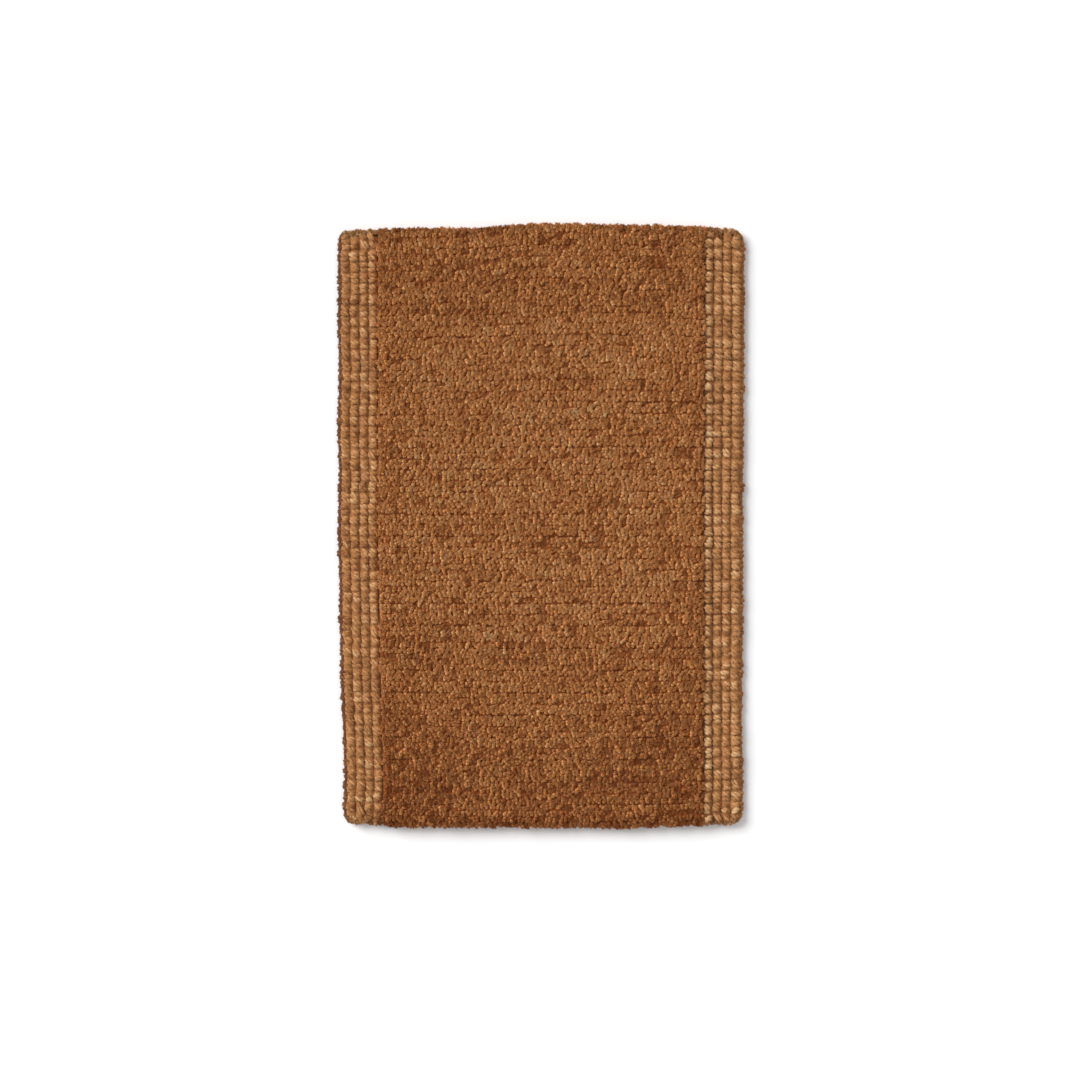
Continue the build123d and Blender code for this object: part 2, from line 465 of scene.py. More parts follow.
def coir(name, dark, middle, light, painted_shade):
    """Coir fibre: colour from each strand's tone, painted shade from its depth in the pile, and
    fine streaks.
    """
    material = bpy.data.materials.new(name)
    material.use_nodes = True
    tree = material.node_tree
    shader = tree.nodes["Principled BSDF"]
    for socket, value in SURFACE.items():
        shader.inputs[socket].default_value = value

    place = tree.nodes.new("ShaderNodeTexCoord").outputs["Object"]
    stretch = tree.nodes.new("ShaderNodeMapping")
    stretch.inputs["Scale"].default_value = STREAK_SCALE
    tree.links.new(place, stretch.inputs["Vector"])
    streaks = noise(tree, 1.0, stretch.outputs["Vector"])
    mixed = tree.nodes.new("ShaderNodeMath")
    mixed.operation = "MULTIPLY_ADD"
    mixed.inputs[1].default_value = STREAK_SHARE
    tree.links.new(streaks, mixed.inputs[0])
    tree.links.new(stored(tree, "tone"), mixed.inputs[2])

    colours = (srgb(*colour) for colour in (dark, middle, light))
    strand = colour_ramp(tree, mixed.outputs["Value"], *zip(TONE_STOPS, colours))
    tint = colour_ramp(tree, noise(tree, PATCH_SCALE, place), RED_PATCH, GOLDEN_PATCH)
    # painted shade: the colour darkens towards the given shade colour where the stored tip value is
    # low
    shade = colour_ramp(tree, stored(tree, "tip"), (0.0, painted_shade), (1.0, WHITE))
    colour = product(tree, product(tree, strand, tint), shade)
    tree.links.new(colour, shader.inputs["Base Color"])

    rough = tree.nodes.new("ShaderNodeMapRange")
    rough.inputs["To Min"].default_value = SMOOTHEST
    rough.inputs["To Max"].default_value = ROUGHEST
    tree.links.new(streaks, rough.inputs["Value"])
    tree.links.new(rough.outputs["Result"], shader.inputs["Roughness"])
    bump = tree.nodes.new("ShaderNodeBump")
    bump.inputs["Strength"].default_value = BUMP_STRENGTH
    bump.inputs["Distance"].default_value = BUMP_HEIGHT
    tree.links.new(streaks, bump.inputs["Height"])
    tree.links.new(bump.outputs["Normal"], shader.inputs["Normal"])
    return material


pile_coir = coir("pile_coir", (140, 75, 28), (208, 145, 86), (216, 178, 128), PILE_PAINTED_SHADE)
loop_coir = coir("loop_coir", (116, 68, 28), (181, 131, 84), (212, 178, 134), YARN_PAINTED_SHADE)
selvedge_coir = coir("selvedge_coir", (98, 56, 24), (156, 103, 62), (196, 148, 104), YARN_PAINTED_SHADE)
ground_coir = coir("ground_coir", (90, 56, 32), (158, 110, 70), (206, 160, 112), GROUND_PAINTED_SHADE)
twine_coir = coir("twine_coir", (120, 84, 50), (190, 146, 98), (226, 190, 140), GROUND_PAINTED_SHADE)
scrim_coir = coir("scrim_coir", (48, 28, 15), (84, 52, 29), (120, 80, 48), GROUND_PAINTED_SHADE)


# ---------------------------------------------------------------- cut tufts
BRUSH_FIBRES = 17             # fibres of each ply's opened end
STRAY_FIBRES = 2              # longer ones that lean out of it
SKIRT_FIBRES = 26             # fibres that cover the foot of a ply at the mat's edge
LOOSE_FIBRES = 9              # finer ones that stand off it all round
STUB_RADIUS = 3.2 * MM        # of the part of a ply that is still twisted
STUB_STEPS = np.array([0.0, 0.75, 1.0])
STUB_SWELL = np.array([0.85, 1.05, 0.7])
# painted shade: each stub is drawn darker towards its foot
STUB_TIP = np.array([[0.4, 0.8, 0.95]])
STUB_TONE = 0.04
PLY_APART = 1.95 * MM
PLY_TURN = 0.55               # how far the two plies of a tuft are turned, in radians
PLY_JITTER, CUT_JITTER, LEAN_JITTER = 0.25 * MM, 0.55 * MM, 0.5 * MM
BRUSH_DEPTH = 2.7 * MM        # how far the opened fibres stand above the twisted stub
BRUSH_ROOT, BRUSH_TIP = 2.0 * MM, 2.75 * MM   # how wide the brush is at its roots and its tips
BRUSH_DOME = 1.5 * MM         # how much lower its outer fibres end
STRAY_ROOT, STRAY_ARCH = 1.2 * MM, 0.9 * MM


def tufts(batch, x, y, base, height, lean_x, lean_y, tone, rng, edge=None):
    """Cut two-ply coir yarn standing on end, each ply opened at its tip into single fibres.
    Tufts marked as edge, whose sides can be seen, are covered in fibres down to their foot.
    """
    count = 2 * len(x)
    which = np.repeat(np.arange(len(x)), 2)
    angle = math.pi / 2 + rng.normal(0, PLY_TURN, len(x))
    sign = np.tile([1.0, -1.0], len(x))
    ply_x = x[which] + np.cos(angle[which]) * sign * PLY_APART + rng.normal(0, PLY_JITTER, count)
    ply_y = y[which] + np.sin(angle[which]) * sign * PLY_APART + rng.normal(0, PLY_JITTER, count)
    tone = tone[which] + rng.normal(0, 0.06, count)
    height = height[which] + rng.normal(0, CUT_JITTER, count)
    lean_x = lean_x[which] + rng.normal(0, LEAN_JITTER, count)
    lean_y = lean_y[which] + rng.normal(0, LEAN_JITTER, count)
    stub_top = height - BRUSH_DEPTH

    def beside(ply, around, away, lean, z):
        """Points round the plies, moved along by a share of each ply's lean."""
        return np.stack([ply_x[ply] + np.cos(around) * away + lean_x[ply] * lean,
                         ply_y[ply] + np.sin(around) * away + lean_y[ply] * lean, z], 1)

    bend = STUB_STEPS ** 1.5 * 0.6
    paths = np.empty((count, len(STUB_STEPS), 3))
    paths[:, :, 0] = ply_x[:, None] + lean_x[:, None] * bend
    paths[:, :, 1] = ply_y[:, None] + lean_y[:, None] * bend
    paths[:, :, 2] = base + (stub_top - base)[:, None] * STUB_STEPS
    radii = STUB_RADIUS * STUB_SWELL * rng.uniform(0.88, 1.1, (count, 1))
    sweep(batch, paths, radii, 5, ALONG_Y, tone + STUB_TONE, STUB_TIP, turns=0.2)

    # the opened end
    ply = np.repeat(np.arange(count), BRUSH_FIBRES)
    total = len(ply)
    around = rng.uniform(0, TAU, total)
    spread = np.sqrt(rng.uniform(0.0, 1, total))
    rise = height[ply] - rng.exponential(0.5 * MM, total) - BRUSH_DOME * spread ** 2
    roots = beside(ply, around, spread * BRUSH_ROOT, 0.5,
                   stub_top[ply] - rng.uniform(0.5, 2.5, total) * MM)
    reach = (BRUSH_TIP + rng.normal(0, 0.5 * MM, total)) * spread
    tips = beside(ply, around, reach, 1.0, rise)
    tips[:, :2] += rng.normal(0, 0.35 * MM, (total, 2))
    width = rng.uniform(0.34, 0.62, total) * MM
    # painted shade: fibres that end lower in the brush are drawn darker
    bright = np.clip(0.8 + (rise - height[ply] + 1.0 * MM) / (5 * MM), 0.5, 1.1)
    prisms(batch, roots, tips, width, tone[ply] + rng.normal(0, 0.07, total), 0.75, bright)

    # strays
    ply = np.repeat(np.arange(count), STRAY_FIBRES)
    total = len(ply)
    around = rng.uniform(0, TAU, total)
    roots = beside(ply, around, STRAY_ROOT, 0.6, stub_top[ply])
    reach = rng.uniform(2.5, 5.2, total) * MM
    tips = beside(ply, around, reach, 1.3, height[ply] + rng.uniform(-1.8, 1.6, total) * MM)
    middles = (roots + tips) / 2
    middles[:, 2] += STRAY_ARCH
    fibres(batch, roots, middles, tips, rng.uniform(0.22, 0.36, total) * MM,
           tone[ply] + rng.normal(0.05, 0.12, total), 0.6, 1.1)

    if edge is None or not edge.any():
        return

    # the skirt of an edge tuft
    ply = np.repeat(np.flatnonzero(edge[which]), SKIRT_FIBRES)
    total = len(ply)
    around = rng.uniform(0, TAU, total)
    away = STUB_RADIUS * rng.uniform(0.85, 1.15, total)
    roots = beside(ply, around, away * 0.9, 0.0, base - rng.uniform(-1.0, 2.2, total) * MM)
    top = height[ply] - rng.uniform(0.6, 5.0, total) * MM
    twist = rng.normal(0.9, 0.8, total) * MM
    tips = beside(ply, around, away, 0.7, top)
    tips[:, 0] -= np.sin(around) * twist
    tips[:, 1] += np.cos(around) * twist
    prisms(batch, roots, tips, rng.uniform(0.3, 0.6, total) * MM,
           tone[ply] + rng.normal(-0.02, 0.14, total), 0.55, 0.9)

    # loose fibres round it
    ply = np.repeat(np.flatnonzero(edge[which]), LOOSE_FIBRES)
    total = len(ply)
    away = unit(rng.normal(0, 1, (total, 3)) * [1.0, 1.0, 0.7])
    centre = np.stack([ply_x[ply], ply_y[ply], height[ply] - rng.uniform(1.5, 6, total) * MM], 1)
    roots = centre + away * STUB_RADIUS * 0.6
    tips = centre + away * (STUB_RADIUS + rng.uniform(0.8, 3.6, total) * MM)[:, None]
    middles = (roots + tips) / 2 + rng.normal(0, 0.4 * MM, (total, 3))
    fibres(batch, roots, middles, tips, rng.uniform(0.14, 0.24, total) * MM,
           tone[ply] + rng.normal(0, 0.12, total), 0.7, 1.0)


# ---------------------------------------------------------------- cut pile
TUFTS_PER_ROW = 84
TUFT_PITCH = 2 * FIELD_HALF_WIDTH / TUFTS_PER_ROW
PILE_TOP = MAT_TOP - 0.6 * MM
PILE_JITTER = 0.6 * MM        # of each tuft's place in its row, its lean and its height
LEAN_X, LEAN_Y = 2.0 * MM, 2.2 * MM
LEFT_TURN, RIGHT_TURN = -1.9 * MM, 0.6 * MM   # lean of the tufts beside each border
END_PAINTED_SHADE = -0.12              # painted shade: the pile is drawn a little darker towards both ends, where the light falls off
NEAR_PAINTED_SHADE = -0.08             # and more so towards the near one, which faces away from the light
SIDE_PAINTED_SHADE = -0.05             # and a little beside the borders, where the light falls off too
SPECK_PAINTED_SHADE, SPECK_DEPTH = -0.2, 1.9 * MM      # a few tufts stand low and are drawn darker, as painted shade in the gaps they leave
SUNK_PAINTED_SHADE, SUNK_DEPTH = -0.05, 0.7 * MM       # some rows lie a little low and are drawn a little darker, as painted shade
SUNK_ROWS = 0.86              # share of the rows that don't
PACKED_DEPTH = 5.0 * MM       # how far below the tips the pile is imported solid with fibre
# painted shade: the packed fibre is drawn dark, standing in for the shade between the tufts
PACKED_TONE, PACKED_TIP = 0.14, 0.1
PACKED_GRID = (200, 12)
NEAR_INSET, FAR_INSET = 4.4 * MM, 5.6 * MM    # how far tufts stay inside the mat's ends


def row_slack(picks):
    """How far each pick has crept along the mat, the same in every border column."""
    slack = (0.7 + hash_line(np.floor(picks / 2), 91) * 1.5) * MM
    return np.where(picks % 2 == 0, slack, -slack)


def swell(x, y):
    """Slow rise and fall of the pile's height."""
    return field(x, y, 0.026, 0.018, 31) * 0.8 * MM


def packed_fibre(batch, row_y):
    """The dense fibre between the tufts of a band, which closes the pile below its tips; it is
    drawn dark, as painted shade.
    """
    low_y = max(row_y[0] - PICK_PITCH / 2, -HALF_LENGTH + 6.5 * MM)
    high_y = min(row_y[-1] + PICK_PITCH / 2, HALF_LENGTH - 6.5 * MM)

    def surface(x, y):
        fall = 3.6 * MM * near_edge(np.abs(y), HALF_LENGTH, 16 * MM, 4 * MM)
        fall += 2.4 * MM * near_edge(np.abs(x), FIELD_HALF_WIDTH, 10 * MM)
        lumps = field(x, y, 0.004, 0.003, 33) * 0.6 * MM
        return PILE_TOP - PACKED_DEPTH + swell(x, y) + lumps - fall

    slab(batch, *PACKED_GRID, FIELD_HALF_WIDTH + 0.8 * MM, low_y, high_y, surface,
         lambda x, y: x * 0 + PILE_BASE,
         lambda x, y: PACKED_TONE + field(x, y, 0.003, 0.002, 35) * 0.14, PACKED_TIP)


def pile_band(number, node):
    """Rows of cut tufts that stand close together, leaning a little the same way."""
    rng = np.random.RandomState(7000 + number)
    rows = np.arange(ROWS_PER_BAND) + number * ROWS_PER_BAND
    row_y = pick_y(rows) + row_slack(rows) * 0.2
    tuft_x = (np.arange(TUFTS_PER_ROW) - (TUFTS_PER_ROW - 1) / 2) * TUFT_PITCH
    x, y = (grid.ravel() for grid in np.meshgrid(tuft_x, row_y))
    count = len(x)
    row_of = np.repeat(rows, TUFTS_PER_ROW)
    slip = hash_line(row_of, 11) * TUFT_PITCH
    x = np.clip(x + slip - TUFT_PITCH / 2 + rng.normal(0, PILE_JITTER, count),
                -FIELD_HALF_WIDTH + 0.4 * MM, FIELD_HALF_WIDTH - 0.4 * MM)
    by_border = near_edge(np.abs(x), FIELD_HALF_WIDTH, 18 * MM)
    turn_out = by_border * (np.where(x < 0, LEFT_TURN, RIGHT_TURN) - LEAN_X * 0.9)
    # roots crowd together where the tips turn outwards, so that no bare line opens there
    x = x - turn_out + (LEFT_TURN - LEAN_X * 0.9) * (0.5 - x / (2 * FIELD_HALF_WIDTH))
    end_row = (row_of < 1) | (row_of > PICK_COUNT - 2)
    steady = np.where(end_row, 0.3, 1.0)
    y = y + rng.normal(0, 0.8 * MM, count) * steady
    y = y + field(x, row_of, 0.03, 1.0, 17) * 1.3 * MM * steady
    y = np.clip(y, -HALF_LENGTH + NEAR_INSET, HALF_LENGTH - FAR_INSET)

    lean_x = LEAN_X + rng.normal(0, PILE_JITTER, count) + field(x, y, 0.03, 0.024, 23) * 0.9 * MM
    lean_y = LEAN_Y + rng.normal(0, PILE_JITTER, count) + field(x, y, 0.03, 0.024, 29) * 0.9 * MM
    lean_y = lean_y - near_edge(-y, HALF_LENGTH, 32 * MM) * 2.6 * MM
    lean_y = np.where(end_row, np.sign(y) * 0.5 * MM + (lean_y - LEAN_Y) * 0.25, lean_y)
    lean_x = lean_x * (1 - 0.4 * by_border) + turn_out + LEAN_X * 0.4 * by_border
    height = PILE_TOP + rng.normal(0, PILE_JITTER, count) + swell(x, y)
    height -= 2.8 * MM * near_edge(np.abs(y), HALF_LENGTH, 12 * MM)
    height -= np.where(x < 0, 1.0, 2.0) * MM * near_edge(np.abs(x), FIELD_HALF_WIDTH, 6 * MM)

    tone = 0.47 + rng.normal(0, 0.055, count)
    tone += field(x, y, 0.045, 0.018, 37) * 0.06 + field(x, y, 0.16, 0.12, 41) * 0.04
    tone += field(x, y, 0.015, 0.010, 38) * 0.09
    tone += field(x * 0, row_of, ANY, 1.7, 43) * 0.03
    speck = smoothstep(field(x, y, 0.010, 0.008, 39), 0.25, 0.75)
    # painted shade: low tufts and sunk rows are drawn darker
    tone += SPECK_PAINTED_SHADE * speck
    height -= SPECK_DEPTH * speck
    sunk = smoothstep(field(x, row_of, 0.09, 1.0, 48), -0.5, 0.3)
    sunk *= hash_line(row_of, 47) > SUNK_ROWS
    tone += SUNK_PAINTED_SHADE * sunk
    height -= SUNK_DEPTH * sunk
    # painted shade: the pile is drawn darker towards its ends and beside the borders
    tone += END_PAINTED_SHADE * (np.abs(y) / HALF_LENGTH) ** 2
    tone += SIDE_PAINTED_SHADE * (np.abs(x) / FIELD_HALF_WIDTH) ** 3
    # painted shade: darker towards the near end, and most in its last rows
    tone += NEAR_PAINTED_SHADE * smoothstep(-y, -0.1, HALF_LENGTH)
    tone -= 0.13 * near_edge(-y, HALF_LENGTH, 18 * MM, 4 * MM)
    batch = Batch()
    tufts(batch, x, y, PILE_BASE - 1.0 * MM, height, lean_x, lean_y, tone, rng, edge=end_row)
    packed_fibre(batch, row_y)
    batch.build(node.replace("pile_band", "coir_pile"), pile_coir, [node])


# ---------------------------------------------------------------- yarn
PLIES = 3


def yarn(batch, paths, ply_radius, apart, turns, tone, tip, rng, flat):
    """Plies laid round each other along each path."""
    strands, steps = paths.shape[:2]
    normal, binormal = frames_along(paths, ALONG_Y)
    phase = rng.uniform(0, TAU, strands)
    along = np.linspace(0, 1, steps)
    low, size = atlas_cells(PLIES * strands)
    for ply in range(PLIES):
        turn = phase[:, None] + ply * TAU / PLIES + turns * TAU * along[None, :]
        angle = turn[..., None]
        centre = paths + apart * (np.cos(angle) * binormal + flat * np.sin(angle) * normal)
        radii = ply_radius * rng.uniform(0.9, 1.1, (strands, 1)) * np.ones((1, steps))
        radii *= 1 + rng.normal(0, 0.04, (strands, steps))
        cells = (low[ply * strands:(ply + 1) * strands], size)
        sweep(batch, centre, radii, 8, ALONG_Y, tone + rng.normal(0, 0.07, strands), tip,
              flat=flat, flutes=4, turns=turns * 1.6, flute_depth=0.08, cells=cells)


def hairs_on(batch, paths, per_strand, away, tone, rng):
    """Short loose fibre ends that stand off a yarn all round."""
    strands, steps = paths.shape[:2]
    total = strands * per_strand
    which = np.repeat(np.arange(strands), per_strand)
    at = rng.uniform(0.08, 0.92, total) * (steps - 1)
    low = np.floor(at).astype(int)
    part = (at - low)[:, None]
    base = paths[which, low] * (1 - part) + paths[which, low + 1] * part
    tangent = unit(paths[which, low + 1] - paths[which, low])
    out = rng.normal(0, 1, (total, 3))
    out[:, 2] = np.abs(out[:, 2])
    out = unit(out - (out * tangent).sum(1, keepdims=True) * tangent)
    slide = tangent * (rng.choice([-1, 1], total) * rng.uniform(1.5, 4.0, total) * MM)[:, None]
    roots = base + out * away * 0.8
    middles = base + out * away * 1.1 + slide * 0.5
    tips = base + out * away * rng.uniform(1.05, 1.45, total)[:, None] + slide
    width = rng.uniform(0.16, 0.3, total) * MM
    fibres(batch, roots, middles, tips, width, tone[which] + rng.normal(0.02, 0.12, total),
           0.6, 1.0)


# ---------------------------------------------------------------- border loops
LOOP_STEPS = 10
LOOP_PLY, LOOP_APART, LOOP_FLAT = 2.2 * MM, 2.3 * MM, 0.8
LOOP_RADIUS = LOOP_PLY + LOOP_APART
LOOP_TURNS = 0.55             # how often the plies go round each other in one loop
LOOP_HAIRS = 16
LOOP_TONE, LOOP_END_TONE = 0.44, -0.08
PAIR_WANDER = 2.8 * MM        # how far sideways pairs of loops stray in their column
PAIR_TONE = 0.14              # and how much their tones differ
BORDER_SHIFT = 1.2 * MM       # how far outside their CAD nodes the columns lie
# columns that differ: how much lighter, higher and further in they are; the outer left one is drawn
# darker as painted shade, the inner right one, in the pile's shadow, lighter as painted light
ODD_COLUMNS = {"loop_column_left_1": (-0.11, -1.2 * MM, 0.0),
               "loop_column_right_4": (0.1, 1.8 * MM, 0.6 * MM)}
SPINE_RADIUS = 7.2 * MM       # the fibre packed under the crowns of the loops
SPINE_FLAT = 0.42
SPINE_DEPTH = 4.2 * MM
# painted shade: the spine's tip value draws it a little darker, as it lies under the loops
SPINE_TONE, SPINE_TIP = 0.34, 0.85
FUZZY_PICKS = 1               # picks at each end of a border column that are cut, not looped


def loop_column(node, side):
    """One column of uncut loops: a thick yarn arches crosswise over the chain at every pick."""
    rng = np.random.RandomState(sum(ord(letter) for letter in node))
    low, high = box_of(node)
    painted_light, higher, inwards = ODD_COLUMNS.get(node, (0.0, 0.0, 0.0))
    centre_x = (low[0] + high[0]) / 2 + side * (BORDER_SHIFT - inwards)
    half = (high[0] - low[0]) / 2
    picks = np.arange(FUZZY_PICKS, PICK_COUNT - FUZZY_PICKS)
    pairs = np.floor(picks / 2)
    count = len(picks)
    column_x = np.full(count, centre_x)
    y = pick_y(picks) + row_slack(picks) * 0.9
    ragged = 1 + 1.6 * near_edge(np.abs(y), HALF_LENGTH, 40 * MM, 12 * MM)
    y = y + rng.normal(0, 0.5 * MM, count) * ragged
    top = high[2] - LOOP_RADIUS * LOOP_FLAT + 0.6 * MM + rng.normal(0, 0.7 * MM, count) * ragged
    top += field(column_x, y, 0.02, 0.02, 53) * 0.8 * MM + higher
    tone = LOOP_TONE + rng.normal(0, 0.07, count) * ragged + painted_light
    tone += field(column_x, y, 0.009, 0.03, 59) * 0.07
    tone += (hash_grid(pairs, column_x * 100, 99) - 0.5) * PAIR_TONE
    tone += near_edge(np.abs(y), HALF_LENGTH, 34 * MM, 14 * MM) * LOOP_END_TONE

    turn = np.linspace(-1, 1, LOOP_STEPS) * math.pi / 2
    reach = half - LOOP_RADIUS * 0.82 + 0.9 * MM + rng.normal(0, 0.55 * MM, count)
    middle_x = centre_x + rng.normal(0, 0.4 * MM, count) * ragged
    middle_x += (hash_grid(pairs, column_x * 100, 97) - 0.5) * PAIR_WANDER
    skew = rng.normal(-0.5 * MM, 0.8 * MM, count) * ragged
    foot = low[2] + 2.5 * MM
    arch = np.cos(turn) ** 0.5
    paths = np.empty((count, LOOP_STEPS, 3))
    paths[:, :, 0] = middle_x[:, None] + reach[:, None] * np.sin(turn)[None]
    paths[:, :, 1] = y[:, None] + skew[:, None] * np.sin(turn)[None]
    paths[:, :, 2] = foot + (top - foot)[:, None] * arch[None]
    batch = Batch()
    # painted shade: each loop is drawn darker down its sides than on its crown
    yarn(batch, paths, LOOP_PLY, LOOP_APART, LOOP_TURNS, tone, 0.3 + 0.7 * arch, rng,
         LOOP_FLAT)

    spine_y = np.linspace(y.min(), y.max(), count * 2)
    spine_x = centre_x + field(centre_x, spine_y, ANY, 0.02, 67) * 0.5 * MM
    spine_z = np.full(len(spine_y), high[2] - SPINE_DEPTH - SPINE_RADIUS * SPINE_FLAT)
    sweep(batch, np.stack([spine_x, spine_y, spine_z], 1)[None],
          np.full((1, len(spine_y)), SPINE_RADIUS), 12, ALONG_X, np.array([SPINE_TONE]), SPINE_TIP,
          flat=SPINE_FLAT)
    hairs_on(batch, paths, LOOP_HAIRS, LOOP_RADIUS * 0.92, tone, rng)
    batch.build(node.replace("loop_column", "yarn_loops"), loop_coir, [node])


END_COLUMNS = 12              # tufts side by side across the end of a border


def border_ends(side_name, side):
    """The last pick at each end of a border, where the loops are cut to short brushy tufts."""
    rng = np.random.RandomState(1200 + side)
    low, high = box_of(f"loop_column_{side_name}_1")
    outer = max(abs(low[0]), abs(high[0]))
    rows = np.concatenate([np.arange(FUZZY_PICKS),
                           np.arange(PICK_COUNT - FUZZY_PICKS, PICK_COUNT)])
    columns = np.linspace(FIELD_HALF_WIDTH + 1.0 * MM, outer + 2.5 * MM, END_COLUMNS)
    x, y = (grid.ravel() for grid in np.meshgrid(columns, pick_y(rows)))
    count = len(x)
    x = side * x + rng.normal(0, 0.9 * MM, count)
    y = np.clip(y - np.sign(y) * rng.exponential(1.2 * MM, count),
                -HALF_LENGTH + NEAR_INSET, HALF_LENGTH - FAR_INSET)
    height = high[2] + 1.2 * MM + rng.uniform(-2.2, 1.4, count) * MM
    height -= 3.4 * MM * smoothstep(np.abs(x), outer - 8 * MM, outer + 2.5 * MM)
    height -= 1.2 * MM * near_edge(np.abs(y), HALF_LENGTH, 12 * MM)
    # painted shade: the tufts at the near end are drawn darker
    tone = 0.5 + rng.normal(0, 0.1, count) - 0.08 * (y < 0)
    batch = Batch()
    tufts(batch, x, y, low[2] - 1.0 * MM, height, rng.normal(0.5 * MM, 0.8 * MM, count),
          np.sign(y) * 0.5 * MM + rng.normal(0, 0.5 * MM, count), tone, rng,
          edge=np.ones(count, bool))
    batch.build(f"border_tufts_{side_name}", loop_coir)


# ---------------------------------------------------------------- selvedges
SELVEDGE_STEPS = 11
# painted light: the left selvedge, which faces the light, is drawn darker, and the right one, in
# shadow, lighter
SELVEDGE_TONE_AND_PAINTED_LIGHT = {-1: 0.1, 1: 0.46}
SELVEDGE_HAIRS = 26
SELVEDGE_FLAT = 0.8
SELVEDGE_INSET = 4.6 * MM     # how far the turns stay inside the mat's ends
SELVEDGE_START, SELVEDGE_STOP = -0.5, 0.62    # half turns from the underside up and over
WRAP_PLY, WRAP_APART, WRAP_TURNS = 1.75 * MM, 1.9 * MM, 0.8
WRAP_RADIUS = WRAP_PLY + WRAP_APART
CORD_RADIUS, CORD_FLAT = 2.9 * MM, 1.45
# painted shade: the cord's tip value draws it a little darker, under the turns
CORD_TONE, CORD_TIP = -0.08, 0.8


def selvedge(node, side):
    """The outer cord along a long edge, whipped all along by the turning wefts."""
    rng = np.random.RandomState(900 + side)
    low, high = box_of(node)
    inner = min(abs(low[0]), abs(high[0]))
    outer = max(abs(low[0]), abs(high[0]))
    middle_z = (high[2] + low[2]) / 2
    half_height = (high[2] - low[2]) / 2
    picks = np.arange(PICK_COUNT)
    y = pick_y(picks) + row_slack(picks) * 0.7
    y = np.clip(y + rng.normal(0, 0.5 * MM, PICK_COUNT),
                -HALF_LENGTH + SELVEDGE_INSET, HALF_LENGTH - SELVEDGE_INSET)
    bulge = rng.normal(0, 0.6 * MM, PICK_COUNT)
    bulge += (hash_line(np.floor(picks / 2), 101) - 0.5) * 1.8 * MM
    turn = np.linspace(SELVEDGE_START, SELVEDGE_STOP, SELVEDGE_STEPS) * math.pi
    start = inner - 3.5 * MM
    reach = outer - WRAP_RADIUS + 0.5 * MM - start
    rounded = np.sign(np.cos(turn)) * np.abs(np.cos(turn)) ** 0.8
    paths = np.empty((PICK_COUNT, SELVEDGE_STEPS, 3))
    paths[:, :, 0] = side * (start + (reach + bulge[:, None]) * rounded[None])
    paths[:, :, 1] = y[:, None] + 1.6 * MM * (turn / math.pi)[None]
    paths[:, :, 2] = middle_z + (half_height - WRAP_RADIUS + 1.0 * MM) * np.sin(turn)[None]
    tone = SELVEDGE_TONE_AND_PAINTED_LIGHT[side] + rng.normal(0, 0.06, PICK_COUNT)
    tone += field(picks * 0.0, y, ANY, 0.05, 61) * 0.06
    # painted shade: each turn is drawn darker where it passes under the cord
    tip = 0.5 + 0.5 * (np.sin(turn) + 1) / 2
    batch = Batch()
    yarn(batch, paths, WRAP_PLY, WRAP_APART, WRAP_TURNS, tone, tip, rng, SELVEDGE_FLAT)

    cord = np.empty((1, PICK_COUNT * 2, 3))
    cord[0, :, 0] = side * (outer - CORD_RADIUS - 2.2 * MM)
    cord[0, :, 1] = np.linspace(low[1] + 4 * MM, high[1] - 4 * MM, PICK_COUNT * 2)
    cord[0, :, 2] = middle_z
    sweep(batch, cord, np.full(cord.shape[:2], CORD_RADIUS), 12, ALONG_X,
          np.array([SELVEDGE_TONE_AND_PAINTED_LIGHT[side] + CORD_TONE]), CORD_TIP, flat=CORD_FLAT)
    hairs_on(batch, paths, SELVEDGE_HAIRS, WRAP_RADIUS * 0.92, tone, rng)
    batch.build(node.replace("selvedge_cord", "selvedge_yarn"), selvedge_coir,
                [node])


# ---------------------------------------------------------------- ground weave
# painted shade: every piece of the ground weave is given a tip value below one, which draws it
# darker all over
CHAIN_COUNT = 48
CHAIN_RADIUS = 2.139 * MM
CHAIN_APART = 2.6 * MM        # half the distance between the two yarns of a chain
WEFT_RADIUS, WEFT_FLAT = 2.375 * MM, 0.72
CHAIN_TWIST, WEFT_TWIST = 140, 90             # turns from end to end
GROUND_FLUTE = 0.12           # depth of the grooves between plies, also in the twine
GROUND_JITTER = 0.25 * MM
CLOTH_THICKNESS = 1.2 * MM
CLOTH_GRID = (60, 90)


def chain_yarns(name, node, parity):
    """Lengthwise chain yarns that pass over and under the wefts by turns."""
    rng = np.random.RandomState(300 + parity)
    spacing = 2 * float(CHAIN_HIGH[0]) / CHAIN_COUNT
    x = (np.arange(CHAIN_COUNT) - (CHAIN_COUNT - 1) / 2) * spacing
    x = np.sort(np.concatenate([x - CHAIN_APART, x + CHAIN_APART]))[parity::2]
    y = np.linspace(-CHAIN_HIGH[1], CHAIN_HIGH[1], PICK_COUNT * 2 + 1)
    wave = np.cos(y / PICK_PITCH * math.pi + parity * math.pi)
    paths = np.empty((len(x), len(y), 3))
    paths[:, :, 0] = x[:, None] + rng.normal(0, GROUND_JITTER, (len(x), 1))
    paths[:, :, 1] = y[None]
    paths[:, :, 2] = GROUND_MIDDLE + (GROUND_MIDDLE - CHAIN_RADIUS) * wave[None]
    tone = 0.42 + rng.normal(0, 0.08, len(x))
    batch = Batch()
    sweep(batch, paths, np.full(paths.shape[:2], CHAIN_RADIUS), 7, ALONG_X, tone, 0.6,
          flutes=2, turns=CHAIN_TWIST, flute_depth=GROUND_FLUTE, cells=strip_cells(len(x)))
    return batch.build(name, ground_coir, [node])


